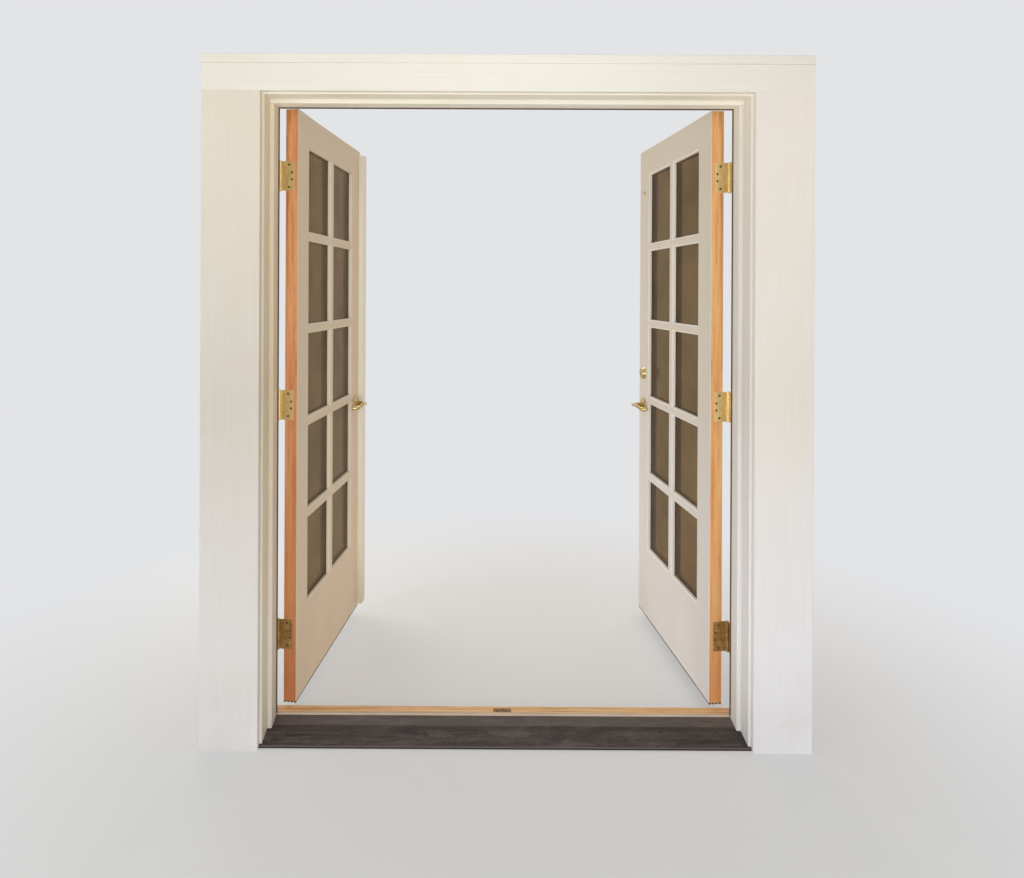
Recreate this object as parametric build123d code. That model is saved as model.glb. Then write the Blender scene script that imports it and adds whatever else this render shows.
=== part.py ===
from build123d import *
import math
import os

# Pair of glazed doors in their frame. X runs across the opening, Y runs into the house and Z up.
# The origin is at the underside of the sill, midway between the jambs, on the jambs' outside edge.

# Leaves and the gaps round them
leaf_width = 762.0
leaf_height = 2032.0
leaf_thickness = 44.5
leaf_bottom = 44.0
hinge_gap = 3.0
meeting_gap = 4.0
head_gap = 3.5
seal_gap = 3.0
touch_gap = 0.3
left_open_angle = 83.2
right_open_angle = 85.4

# Woodwork of a leaf
stile_width = 112.0
top_rail_width = 114.0
bottom_rail_width = 296.0
muntin_width = 34.0
light_columns = 2
light_rows = 5
moulding_width = 6.0
moulding_quirk = 1.2
moulding_depth = 15.0
rebate_width = 9.0
pane_thickness = 4.0
pane_play = 1.5
bead_setback = 1.5
bead_bevel = 4.0
edge_ease = 1.2

# Frame
jamb_thickness = 32.0
stop_setback = 61.0
stop_width = 52.5
stop_thickness = 14.0
stop_round = 2.5
casing_width = 186.0
casing_thickness = 21.0
casing_reveal = 8.0
head_casing_height = 88.0
head_cap_height = 28.0
head_cap_proud = 3.0
head_reveal = 5.0
sill_nose_reach = 8.0
sill_nose_height = 8.0
sill_nose_round = 3.0
sill_slope = 10.6
threshold_setback = 1.5
threshold_gap = 6.0
threshold_round = 2.0

# Seals
weatherstrip_width = 13.0
weatherstrip_lip = 4.0
weatherstrip_round = 1.2
bottom_seal_width = 42.0
bottom_seal_fins = 4
bottom_seal_web = 1.7
astragal_seal_width = 14.0
astragal_seal_round = 1.2

# Butt hinges
hinge_height = 101.6
hinge_from_top = 178.0
hinge_from_bottom = 177.0
pin_throw = 20.0
hinge_reach = 50.8
hinge_thickness = 2.6
knuckle_count = 5
knuckle_radius = 6.4
knuckle_gap = 0.3
knuckle_room = 0.4
pin_radius = 3.2
pin_play = 0.05
pin_tip_radius = 5.0
pin_tip_height = 2.5
pin_tip_bevel = 1.5
screw_head_radius = 4.4
screw_head_depth = 2.2
screw_shank_radius = 2.1
screw_length = 22.0
screw_play = 0.1
inner_screw_reach = 31.5
inner_screw_rise = 38.5
outer_screw_reach = 42.5
outer_screw_rise = 12.0

# Astragal on the free edge of the left leaf
astragal_stem = 14.0
astragal_lap = 6.0
astragal_cover = 30.0
astragal_thickness = 21.0
astragal_round = 4.0
astragal_head_gap = 2.5
astragal_bottom_rise = 5.0

# Flush bolts inside the astragal and their strikes
bolt_radius = 4.0
bolt_play = 0.3
bolt_length = 240.0
bolt_travel = 16.0
bolt_sink = 1.0
bolt_tab_width = 5.0
bolt_tab_height = 16.0
bolt_tab_inset = 20.0
bolt_strike_length = 60.0
bolt_strike_width = 22.0
strike_thickness = 1.6
strike_play = 0.8

# Lever sets
lever_height = 912.0
lock_backset = 60.0
rose_radius = 32.0
rose_thickness = 7.0
rose_round = 3.0
lever_neck_radius = 10.0
lever_projection = 52.0
lever_bar_radius = 7.5
lever_reach = 112.0
lever_rise = 6.0
lever_return = 26.0
lever_dip = 7.0
lever_elbow = 15.0
lever_sweep = 70.0
lever_end_bend = 10.0
lever_start = 1.0
spindle_side = 8.0
spindle_play = 0.1
spindle_inset = 26.0
spindle_bore_radius = 6.4
cross_bore_radius = 27.0

# Latch and deadbolt
faceplate_height = 57.0
faceplate_width = 25.4
faceplate_thickness = 2.4
latch_tube_radius = 10.8
latch_side = 13.0
latch_throw = 12.0
latch_inset = 36.0
latch_bevel = 9.0
bore_play = 0.2
slide_play = 0.15
deadbolt_spacing = 139.5
deadbolt_tube_radius = 12.4
deadbolt_tall = 20.0
deadbolt_thick = 13.0
deadbolt_throw = 25.0
deadbolt_inset = 46.0
deadbolt_round = 1.5
collar_radius = 27.0
collar_front_radius = 22.0
collar_height = 13.0
plug_radius = 8.0
plug_height = 1.5
keyway_width = 2.0
keyway_height = 9.0
cylinder_radius = 19.0
cylinder_depth = 9.0
turn_shaft_radius = 5.5
turn_length = 34.0
turn_height = 11.0
turn_depth = 16.0
tail_width = 6.0
tail_thickness = 2.0
lock_strike_depth = 10.0
keyhole_plate_from_top = 187.0
keyhole_plate_radius = 9.0
keyhole_plate_thickness = 3.0
keyhole_plate_bevel = 1.2
keyhole_radius = 2.5

# Places that follow from the sizes
half_opening = (2 * (leaf_width + hinge_gap) + astragal_stem + meeting_gap) / 2
stop_back = stop_setback + stop_width
door_face = stop_back + seal_gap
jamb_depth = door_face + leaf_thickness
head_under = leaf_bottom + leaf_height + head_gap
sill_back = door_face + threshold_setback
sill_back_height = sill_nose_height + (sill_back + sill_nose_reach) * math.tan(math.radians(sill_slope))
casing_inner = half_opening + casing_reveal
head_casing_bottom = head_under + head_reveal
frame_half_width = half_opening + jamb_thickness
pin_s = -hinge_gap / 2
pin_n = leaf_thickness + pin_throw
hinge_levels = (
    hinge_from_bottom,
    (leaf_height - hinge_height) / 2,
    leaf_height - hinge_from_top - hinge_height,
)
knuckle_height = hinge_height / knuckle_count
light_width = (leaf_width - 2 * stile_width - (light_columns - 1) * muntin_width) / light_columns
light_height = (
    leaf_height - top_rail_width - bottom_rail_width - (light_rows - 1) * muntin_width
) / light_rows
lock_s = leaf_width - lock_backset
deadbolt_height = lever_height + deadbolt_spacing
middle_n = leaf_thickness / 2
stem_end = leaf_width + astragal_stem
astragal_top = leaf_height + head_gap - stop_thickness - weatherstrip_lip - astragal_head_gap
bolt_s = leaf_width + astragal_stem / 2


def block(x_low, x_high, y_low, y_high, z_low, z_high):
    """Box between two limits on each axis."""
    size = Box(x_high - x_low, y_high - y_low, z_high - z_low)
    return Pos((x_low + x_high) / 2, (y_low + y_high) / 2, (z_low + z_high) / 2) * size


def round_bar(radius, plane, length):
    """Cylinder that starts on a plane and runs along its normal."""
    return plane * Cylinder(radius, length, align=(Align.CENTER, Align.CENTER, Align.MIN))


def solids_of(pieces):
    """Flat list of the solids in a list of shapes."""
    return [solid for piece in pieces for solid in piece.solids()]


# Places. A leaf is drawn closed on the left: s runs from its hinge edge to its free edge along X,
# n from its outside face inwards along Y, and t from its bottom upwards along Z.


def seat(piece, side):
    """Moves a shape from a leaf's own s, n, t frame into the frame, as on a closed leaf."""
    moved = Pos(-half_opening + hinge_gap, door_face, leaf_bottom) * piece
    return mirror(moved, about=Plane.YZ) if side == "right" else moved


def hang(piece, side):
    """Places a leaf's piece and swings it on the hinge pins to where the leaf stands open."""
    angle = left_open_angle if side == "left" else right_open_angle
    pin = Axis((-half_opening + hinge_gap + pin_s, door_face + pin_n, 0), (0, 0, 1))
    swung = seat(piece, "left").rotate(pin, angle)
    return mirror(swung, about=Plane.YZ) if side == "right" else swung


def out_of_face(face_n, outward, s, t):
    """Plane on a leaf's face: normal away from the wood, X towards the hinges."""
    return Plane(origin=(s, face_n, t), x_dir=(-1, 0, 0), z_dir=(0, outward, 0))


# Woodwork of a leaf


def edge_cut(width):
    """What a moulding and a glass rebate take off the right-hand edge of a section."""
    tall = moulding_quirk + moulding_width
    ovolo = Pos(width - moulding_width / 2, tall / 2) * Rectangle(moulding_width, tall)
    ovolo -= Pos(width - moulding_width, tall) * Circle(moulding_width)
    deep = leaf_thickness - moulding_depth
    rebate = Pos(width - rebate_width / 2, moulding_depth + deep / 2) * Rectangle(rebate_width, deep)
    return ovolo + rebate


def member_section(width, left_moulded, right_moulded):
    """Section of a stile, rail or bar, with its width along X and its depth along Y."""
    section = Pos(width / 2, leaf_thickness / 2) * Rectangle(width, leaf_thickness)
    if not left_moulded:
        section = chamfer(section.vertices().group_by(Axis.X)[0], edge_ease)
    if not right_moulded:
        section = chamfer(section.vertices().group_by(Axis.X)[-1], edge_ease)
    cut = edge_cut(width)
    if right_moulded:
        section -= cut
    if left_moulded:
        section -= Pos(width, 0) * mirror(cut, about=Plane.YZ)
    return section


def upright(section, s_low, t_low, t_high):
    """A section stood up along the leaf."""
    return extrude(Pos(s_low, 0, t_low) * section, amount=t_high - t_low)


def crosswise(section, t_low, s_low, s_high):
    """A section laid across the leaf, with its width upwards."""
    plane = Plane(origin=(s_high, 0, t_low), x_dir=(0, 0, 1), z_dir=(-1, 0, 0))
    return extrude(plane * section, amount=s_high - s_low)


def coped(piece, neighbours):
    """Cuts a piece's ends to fit over the mouldings that it meets."""
    for neighbour in neighbours:
        piece -= neighbour
    return piece


def hinge_gains(s_low, s_high):
    """Shallow pockets for the three hinge plates."""
    n_low = pin_n - hinge_reach
    n_high = leaf_thickness + edge_ease
    return [block(s_low, s_high, n_low, n_high, t, t + hinge_height) for t in hinge_levels]


def leaf_frame():
    """Stiles, rails and glazing bars of one leaf, before hinges and locks are let in."""
    stile = member_section(stile_width, False, True)
    far_stile = member_section(stile_width, True, False)
    bar = member_section(muntin_width, True, True)
    inner = stile_width - rebate_width
    far = leaf_width - inner
    wood = {
        "hinge_stile": upright(stile, 0, 0, leaf_height),
        "meeting_stile": upright(far_stile, leaf_width - stile_width, 0, leaf_height),
    }
    stiles = list(wood.values())
    top_rail = crosswise(
        member_section(top_rail_width, True, False), leaf_height - top_rail_width, inner, far
    )
    bottom_rail = crosswise(member_section(bottom_rail_width, False, True), 0, inner, far)
    wood["top_rail"] = coped(top_rail, stiles)
    wood["bottom_rail"] = coped(bottom_rail, stiles)
    rails = [wood["top_rail"], wood["bottom_rail"]]
    low = bottom_rail_width - rebate_width
    high = leaf_height - top_rail_width + rebate_width
    pitch = light_width + muntin_width
    uprights = [
        coped(upright(bar, stile_width + light_width + column * pitch, low, high), rails)
        for column in range(light_columns - 1)
    ]
    crossings = []
    for row in range(light_rows - 1):
        level = bottom_rail_width + light_height + row * (light_height + muntin_width)
        long_bar = coped(crosswise(bar, level, inner, far), stiles + uprights)
        crossings += long_bar.solids()
    wood["upright_muntin"] = uprights
    wood["cross_muntins"] = crossings
    return wood


def light_corners():
    """Lower hinge-side corner of each light."""
    return [
        (
            stile_width + column * (light_width + muntin_width),
            bottom_rail_width + row * (light_height + muntin_width),
        )
        for row in range(light_rows)
        for column in range(light_columns)
    ]


def panes():
    """Glass in each rebate, bedded on the moulding."""
    margin = rebate_width - pane_play
    low = moulding_depth + touch_gap
    return [
        block(s - margin, s + light_width + margin, low, low + pane_thickness,
              t - margin, t + light_height + margin)
        for s, t in light_corners()
    ]


def glazing_beads():
    """Mitred ring that holds each pane from inside, bevelled towards the glass."""
    margin = rebate_width - touch_gap
    low = moulding_depth + pane_thickness + 2 * touch_gap
    high = leaf_thickness - bead_setback
    rings = []
    for s, t in light_corners():
        ring = block(s - margin, s + light_width + margin, low, high, t - margin, t + light_height + margin)
        ring -= block(s, s + light_width, low, high, t, t + light_height)
        mouth = Plane(
            origin=(s + light_width / 2, high, t + light_height / 2), x_dir=(1, 0, 0), z_dir=(0, -1, 0)
        )
        flare = Rectangle(light_width + 2 * bead_bevel, light_height + 2 * bead_bevel)
        ring -= extrude(mouth * flare, amount=bead_bevel, taper=45)
        rings.append(ring)
    return rings


def bottom_seal():
    """Finned strip under a leaf."""
    drop = threshold_gap - touch_gap
    start = (leaf_thickness - bottom_seal_width) / 2
    strip = block(0, leaf_width, start, start + bottom_seal_width, -drop, 0)
    pitch = bottom_seal_width / (2 * bottom_seal_fins - 1)
    for index in range(bottom_seal_fins - 1):
        low = start + (2 * index + 1) * pitch
        strip -= block(0, leaf_width, low, low + pitch, -drop, -bottom_seal_web)
    return strip


# Hinges


def pin_plane(t):
    """Level plane on the hinge pins' axis."""
    return Plane(origin=(pin_s, pin_n, t), z_dir=(0, 0, 1))


def screw_places(level):
    """Where the four screws of one hinge plate stand, as n and t."""
    middle = level + hinge_height / 2
    places = []
    for reach, rise in ((inner_screw_reach, inner_screw_rise), (outer_screw_reach, outer_screw_rise)):
        places += [(pin_n - reach, middle - rise), (pin_n - reach, middle + rise)]
    return places


def countersunk(face_s, into, place, play, length):
    """Screw, or with play the hole for it, driven from a plate's face into the wood."""
    plane = Plane(origin=(face_s, place[0], place[1]), z_dir=(into, 0, 0))
    head = Cone(
        screw_head_radius + play, screw_shank_radius + play, screw_head_depth,
        align=(Align.CENTER, Align.CENTER, Align.MIN),
    )
    return plane * head + round_bar(screw_shank_radius + play, plane, length)


def hinge_half(level, face_s, into, knuckle_rows):
    """One plate of a butt hinge with its own knuckles, bored for the pin."""
    s_low = min(face_s, face_s + into * hinge_thickness)
    half = block(s_low, s_low + hinge_thickness, pin_n - hinge_reach, pin_n, level, level + hinge_height)
    for row in range(knuckle_count):
        low = level + row * knuckle_height
        if row not in knuckle_rows:
            half -= round_bar(knuckle_radius + knuckle_room, pin_plane(low), knuckle_height)
    for row in knuckle_rows:
        low = level + row * knuckle_height + knuckle_gap / 2
        half += round_bar(knuckle_radius, pin_plane(low), knuckle_height - knuckle_gap)
    half -= round_bar(pin_radius + pin_play, pin_plane(level), hinge_height)
    for place in screw_places(level):
        half -= countersunk(face_s, into, place, screw_play, hinge_thickness)
    return half


def frame_hinges():
    """The three hinge plates on a jamb, which carry the outer and middle knuckles."""
    rows = range(0, knuckle_count, 2)
    return [hinge_half(level, -hinge_gap, -1, rows) for level in hinge_levels]


def leaf_hinges():
    """The three hinge plates on a leaf's edge."""
    rows = range(1, knuckle_count, 2)
    return [hinge_half(level, 0, 1, rows) for level in hinge_levels]


def hinge_screws(face_s, into):
    """The screws of three hinge plates."""
    return [
        countersunk(face_s, into, place, 0, screw_length)
        for level in hinge_levels
        for place in screw_places(level)
    ]


def hinge_pin(level):
    """Loose pin with a button tip at each end."""
    pin = round_bar(pin_radius, pin_plane(level), hinge_height)
    top = round_bar(pin_tip_radius, pin_plane(level + hinge_height), pin_tip_height)
    low = round_bar(pin_tip_radius, pin_plane(level - pin_tip_height), pin_tip_height)
    top = chamfer(top.edges().group_by(Axis.Z)[-1], pin_tip_bevel)
    low = chamfer(low.edges().group_by(Axis.Z)[0], pin_tip_bevel)
    return pin + top + low


# Astragal, flush bolts and strikes on the left leaf


def bolt_plane(t):
    """Level plane on the flush bolts' axis."""
    return Plane(origin=(bolt_s, middle_n, t), z_dir=(0, 0, 1))


def bolt_slot(tab_low, travel_up, travel_down):
    """Slot in the stem's edge that a bolt's finger tab moves in."""
    half = bolt_tab_width / 2 + bolt_play
    return block(
        bolt_s, stem_end, middle_n - half, middle_n + half,
        tab_low - travel_down - bolt_play, tab_low + bolt_tab_height + travel_up + bolt_play,
    )


def top_tab_low():
    """Lower end of the top bolt's finger tab."""
    return leaf_height - bolt_sink - bolt_length + bolt_tab_inset


def bottom_tab_low():
    """Lower end of the bottom bolt's finger tab."""
    return bolt_sink + bolt_length - bolt_tab_inset - bolt_tab_height


def astragal():
    """T-shaped strip: a stem on the leaf's edge and a flange that laps the other leaf."""
    stem = block(leaf_width, stem_end, 0, leaf_thickness, 0, leaf_height)
    flange_end = stem_end + astragal_cover
    flange = block(
        leaf_width - astragal_lap, flange_end, -astragal_thickness, 0,
        astragal_bottom_rise, astragal_top,
    )
    corners = flange.edges().filter_by(Axis.Z).group_by(Axis.Y)[0]
    flange = fillet(corners, astragal_round)
    flange -= block(stem_end, flange_end, -seal_gap, 0, 0, leaf_height)
    strip = stem + flange
    channel = bolt_length + bolt_sink + touch_gap
    strip -= round_bar(bolt_radius + bolt_play, bolt_plane(0), channel + bolt_travel)
    strip -= round_bar(bolt_radius + bolt_play, bolt_plane(leaf_height - channel), channel)
    strip -= bolt_slot(top_tab_low(), bolt_travel, 0)
    strip -= bolt_slot(bottom_tab_low(), 0, bolt_travel)
    return strip


def astragal_seal():
    """Soft strip behind the flange, where the right leaf closes against it."""
    middle = stem_end + astragal_cover / 2
    strip = block(
        middle - astragal_seal_width / 2, middle + astragal_seal_width / 2, -seal_gap, -touch_gap,
        astragal_bottom_rise, astragal_top,
    )
    return fillet(strip.edges().filter_by(Axis.Z).group_by(Axis.Y)[-1], astragal_seal_round)


def flush_bolt(rod_low, tab_low):
    """Round rod with a flat finger tab that stays below the stem's edge."""
    rod = round_bar(bolt_radius, bolt_plane(rod_low), bolt_length)
    tab = block(
        bolt_s, stem_end - 2 * touch_gap, middle_n - bolt_tab_width / 2, middle_n + bolt_tab_width / 2,
        tab_low, tab_low + bolt_tab_height,
    )
    return rod + tab


def bolt_strike(face_z, into):
    """Plate for a flush bolt, let into the head jamb or the threshold on a closed leaf's bolt axis."""
    low = min(face_z, face_z + into * strike_thickness)
    plate = block(
        bolt_s - bolt_strike_length / 2, bolt_s + bolt_strike_length / 2,
        middle_n - bolt_strike_width / 2, middle_n + bolt_strike_width / 2, low, low + strike_thickness,
    )
    return plate


def bolt_hole(face_z, into):
    """Hole for a thrown flush bolt."""
    depth = bolt_travel + bolt_sink + strike_play
    start = min(face_z, face_z + into * depth)
    return round_bar(bolt_radius + strike_play, bolt_plane(start), depth)


def lock_strike_plate(height):
    """Strike plate on the stem, flush with its edge."""
    return block(
        stem_end - strike_thickness, stem_end, middle_n - faceplate_width / 2,
        middle_n + faceplate_width / 2, height - faceplate_height / 2, height + faceplate_height / 2,
    )


def latch_pocket():
    """Hole behind the latch's strike plate."""
    half = latch_side / 2 + strike_play
    return block(
        stem_end - lock_strike_depth, stem_end, middle_n - half, middle_n + half,
        lever_height - half, lever_height + half,
    )


def deadbolt_pocket():
    """Hole behind the deadbolt's strike plate, through the stem and into the stile."""
    thick = deadbolt_thick / 2 + strike_play
    tall = deadbolt_tall / 2 + strike_play
    depth = deadbolt_throw - meeting_gap + strike_play
    return block(
        stem_end - depth, stem_end, middle_n - thick, middle_n + thick,
        deadbolt_height - tall, deadbolt_height + tall,
    )


# Lever sets, latch and deadbolt


def rose(outward, bore):
    """Round plate behind a lever, bored for the spindle where there is one."""
    plane = out_of_face(0 if outward < 0 else leaf_thickness, outward, lock_s, lever_height)
    disc = Cylinder(rose_radius, rose_thickness, align=(Align.CENTER, Align.CENTER, Align.MIN))
    disc = fillet(disc.edges().group_by(Axis.Z)[-1], rose_round)
    if bore:
        disc -= Cylinder(bore, rose_thickness, align=(Align.CENTER, Align.CENTER, Align.MIN))
    return plane * disc


def lever(outward, gap, socket):
    """Round lever: neck out of the rose, waved arm towards the hinges, end returned to the door."""
    plane = out_of_face(0 if outward < 0 else leaf_thickness, outward, lock_s, lever_height)
    rise = outward * lever_rise
    start = rose_thickness + gap
    neck_top = lever_projection - lever_elbow
    neck = Pos(0, 0, start) * Cylinder(
        lever_neck_radius, neck_top - start, align=(Align.CENTER, Align.CENTER, Align.MIN)
    )
    neck = fillet(neck.edges().group_by(Axis.Z)[-1], lever_neck_radius - lever_bar_radius)
    route = FilletPolyline(
        (0, 0, start + lever_start),
        (0, 0, lever_projection),
        (lever_reach / 2, rise, lever_projection),
        (lever_reach - lever_bar_radius, -rise / 2, lever_projection - lever_dip),
        (lever_reach, -rise / 2, lever_return),
        radius=[lever_elbow, lever_sweep, lever_end_bend],
    )
    section = Plane(origin=route @ 0, z_dir=route % 0) * Circle(lever_bar_radius)
    arm = sweep(section, path=route)
    tip = Pos(*(route @ 1)) * Sphere(lever_bar_radius)
    handle = neck + arm + tip
    if socket:
        side = spindle_side + spindle_play
        handle -= Pos(0, 0, spindle_inset / 2) * Box(side, side, spindle_inset + spindle_play)
    return plane * handle


def spindle():
    """Square bar that joins the two levers through the leaf."""
    half = spindle_side / 2
    reach = spindle_inset
    return block(
        lock_s - half, lock_s + half, -reach, leaf_thickness + reach, lever_height - half, lever_height + half
    )


def faceplate(height):
    """Plate of a latch or deadbolt, flush with the leaf's edge."""
    return block(
        leaf_width - faceplate_thickness, leaf_width, middle_n - faceplate_width / 2,
        middle_n + faceplate_width / 2, height - faceplate_height / 2, height + faceplate_height / 2,
    )


def edge_plane(s, height):
    """Plane in the thickness of the leaf, facing its free edge."""
    return Plane(origin=(s, middle_n, height), z_dir=(1, 0, 0))


def bolt_case(height, tube_radius, inset, thick, tall):
    """Tube and faceplate that guide a sliding bolt."""
    case = round_bar(tube_radius, edge_plane(leaf_width - inset, height), inset)
    case += faceplate(height)
    case -= block(
        leaf_width - inset, leaf_width, middle_n - thick / 2 - slide_play, middle_n + thick / 2 + slide_play,
        height - tall / 2 - slide_play, height + tall / 2 + slide_play,
    )
    return case


def latch_bolt():
    """Square bolt with its outside corner bevelled, so that it rides over the strike."""
    half = latch_side / 2
    bolt = block(
        leaf_width - latch_inset, leaf_width + latch_throw, middle_n - half, middle_n + half,
        lever_height - half, lever_height + half,
    )
    nose = bolt.edges().filter_by(Axis.Z).group_by(Axis.X)[-1].sort_by(Axis.Y)[0]
    return chamfer(nose, latch_bevel)


def deadbolt():
    """Flat bolt, drawn back until its end is flush with the faceplate."""
    bolt = block(
        leaf_width - deadbolt_inset, leaf_width - touch_gap, middle_n - deadbolt_thick / 2,
        middle_n + deadbolt_thick / 2, deadbolt_height - deadbolt_tall / 2, deadbolt_height + deadbolt_tall / 2,
    )
    return fillet(bolt.edges().filter_by(Axis.Y).group_by(Axis.X)[-1], deadbolt_round)


def deadbolt_cylinder():
    """Tapered outside collar with its key plug and the barrel behind it."""
    collar = Cone(
        collar_radius, collar_front_radius, collar_height, align=(Align.CENTER, Align.CENTER, Align.MIN)
    )
    collar += Pos(0, 0, collar_height) * Cylinder(
        plug_radius, plug_height, align=(Align.CENTER, Align.CENTER, Align.MIN)
    )
    collar -= Pos(0, 0, collar_height) * Box(keyway_width, keyway_height, collar_height)
    barrel = Cylinder(cylinder_radius, cylinder_depth, align=(Align.CENTER, Align.CENTER, Align.MAX))
    return out_of_face(0, -1, lock_s, deadbolt_height) * (collar + barrel)


def deadbolt_rose():
    """Inside plate of the deadbolt, bored for the thumb turn."""
    disc = Cylinder(collar_radius, rose_thickness, align=(Align.CENTER, Align.CENTER, Align.MIN))
    disc = fillet(disc.edges().group_by(Axis.Z)[-1], rose_round)
    disc -= Cylinder(
        turn_shaft_radius + bore_play, rose_thickness, align=(Align.CENTER, Align.CENTER, Align.MIN)
    )
    return out_of_face(leaf_thickness, 1, lock_s, deadbolt_height) * disc


def thumb_turn():
    """Inside knob with its shaft and the flat tail that drives the deadbolt."""
    grip = Pos(0, 0, rose_thickness + touch_gap) * extrude(
        SlotOverall(turn_length, turn_height, rotation=90), amount=turn_depth
    )
    shaft = Cylinder(
        turn_shaft_radius, rose_thickness + touch_gap, align=(Align.CENTER, Align.CENTER, Align.MIN)
    )
    tail_end = cylinder_depth + 2 * touch_gap - leaf_thickness
    tail = Box(tail_thickness, tail_width, -tail_end, align=(Align.CENTER, Align.CENTER, Align.MAX))
    return out_of_face(leaf_thickness, 1, lock_s, deadbolt_height) * (grip + shaft + tail)


def keyhole_plate():
    """Small round plate over a keyhole, high on the right leaf's meeting stile."""
    disc = Cylinder(
        keyhole_plate_radius, keyhole_plate_thickness, align=(Align.CENTER, Align.CENTER, Align.MIN)
    )
    disc = chamfer(disc.edges().group_by(Axis.Z)[-1], keyhole_plate_bevel)
    disc -= Cylinder(keyhole_radius, keyhole_plate_thickness, align=(Align.CENTER, Align.CENTER, Align.MIN))
    return out_of_face(0, -1, lock_s, leaf_height - keyhole_plate_from_top) * disc


def lock_bores():
    """Holes in the right leaf's meeting stile for the lever set, latch and deadbolt."""
    cuts = []
    for height, tube in ((lever_height, latch_tube_radius), (deadbolt_height, deadbolt_tube_radius)):
        face = out_of_face(0, 1, lock_s, height)
        cuts.append(round_bar(cross_bore_radius, face, leaf_thickness))
        cuts.append(round_bar(tube + bore_play, edge_plane(lock_s, height), lock_backset))
        cuts.append(faceplate(height))
    return cuts


# Frame


def sill():
    """Sloped outside sill: full width under the jambs, its nose between the casings."""
    with BuildSketch(Plane.YZ) as outline:
        with BuildLine():
            Polyline(
                (-sill_nose_reach, 0),
                (-sill_nose_reach, sill_nose_height),
                (sill_back, sill_back_height),
                (sill_back, 0),
                close=True,
            )
        make_face()
        nose = outline.vertices().filter_by_position(Axis.Z, sill_nose_height, sill_nose_height)
        fillet(nose, sill_nose_round)
    body = extrude(outline.sketch, amount=frame_half_width, both=True)
    for x_low, x_high in ((-frame_half_width, -casing_inner), (casing_inner, frame_half_width)):
        body -= block(x_low, x_high, -sill_nose_reach, 0, 0, sill_back_height)
    return body


def threshold():
    """Inside strip under the closed leaves, with the hole and recess for the bottom bolt's strike."""
    top = leaf_bottom - threshold_gap
    strip = block(-half_opening, half_opening, sill_back, jamb_depth, 0, top)
    front = strip.edges().filter_by(Axis.X).group_by(Axis.Z)[-1].sort_by(Axis.Y)[0]
    strip = fillet(front, threshold_round)
    strip -= seat(bolt_strike(-threshold_gap, -1), "left")
    strip -= seat(bolt_hole(-threshold_gap, -1), "left")
    return strip


def left_jamb(sill_body):
    """Side jamb, scribed over the sill and let in for the hinge plates."""
    jamb = block(-frame_half_width, -half_opening, 0, jamb_depth, 0, head_under)
    jamb -= sill_body
    for gain in hinge_gains(-hinge_gap - hinge_thickness, -hinge_gap):
        jamb -= seat(gain, "left")
    return jamb


def head_jamb():
    """Head jamb across both side jambs, with the top bolt's recess and hole."""
    jamb = block(-frame_half_width, frame_half_width, 0, jamb_depth, head_under, head_under + jamb_thickness)
    face = leaf_height + head_gap
    jamb -= seat(bolt_strike(face, 1), "left")
    jamb -= seat(bolt_hole(face, 1), "left")
    return jamb


def bolt_strikes():
    """The two strike plates, each with its bolt hole."""
    plates = []
    for face, into in ((leaf_height + head_gap, 1), (-threshold_gap, -1)):
        plates.append(seat(bolt_strike(face, into) - bolt_hole(face, into), "left"))
    return plates


def left_stop(sill_body):
    """Side stop, scribed over the sill, with its front arris rounded."""
    stop = block(
        -half_opening, -half_opening + stop_thickness, stop_setback, stop_back, 0, head_under - stop_thickness
    )
    front = stop.edges().filter_by(Axis.Z).group_by(Axis.Y)[0].sort_by(Axis.X)[-1]
    return fillet(front, stop_round) - sill_body


def head_stop():
    """Stop under the head jamb, across the side stops."""
    stop = block(
        -half_opening, half_opening, stop_setback, stop_back, head_under - stop_thickness, head_under
    )
    front = stop.edges().filter_by(Axis.X).group_by(Axis.Z)[0].sort_by(Axis.Y)[0]
    return fillet(front, stop_round)


def left_casing():
    """Flat outside board beside the opening."""
    board = block(-casing_inner - casing_width, -casing_inner, -casing_thickness, 0, 0, head_casing_bottom)
    front = board.edges().filter_by(Axis.Z).group_by(Axis.Y)[0]
    return chamfer(front, edge_ease)


def head_casing():
    """Flat outside board across the top of both side boards."""
    reach = casing_inner + casing_width
    board = block(
        -reach, reach, -casing_thickness, 0, head_casing_bottom, head_casing_bottom + head_casing_height
    )
    front = board.edges().filter_by(Axis.X).group_by(Axis.Y)[0]
    return chamfer(front, edge_ease)


def head_cap():
    """Narrow thicker strip along the top of the head board."""
    reach = casing_inner + casing_width
    low = head_casing_bottom + head_casing_height
    strip = block(-reach, reach, -casing_thickness - head_cap_proud, 0, low, low + head_cap_height)
    front = strip.edges().filter_by(Axis.X).group_by(Axis.Y)[0]
    return chamfer(front, edge_ease)


def weatherstrip():
    """Soft strips behind the stops, on both sides and above the astragal's flange at the head."""
    y_high = stop_back + seal_gap - touch_gap
    inner = half_opening - stop_thickness - weatherstrip_lip
    head_low = head_under - stop_thickness - weatherstrip_lip
    low = leaf_bottom - threshold_gap
    side = block(-inner - weatherstrip_width, -inner, stop_back, y_high, low, head_low + weatherstrip_width)
    side = fillet(side.edges().filter_by(Axis.Z).group_by(Axis.X)[-1], weatherstrip_round)
    head = block(-inner, inner, stop_back, y_high, head_low, head_low + weatherstrip_width)
    head = fillet(head.edges().filter_by(Axis.X).group_by(Axis.Z)[0], weatherstrip_round)
    return [side, mirror(side, about=Plane.YZ), head]


# Nodes


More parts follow.
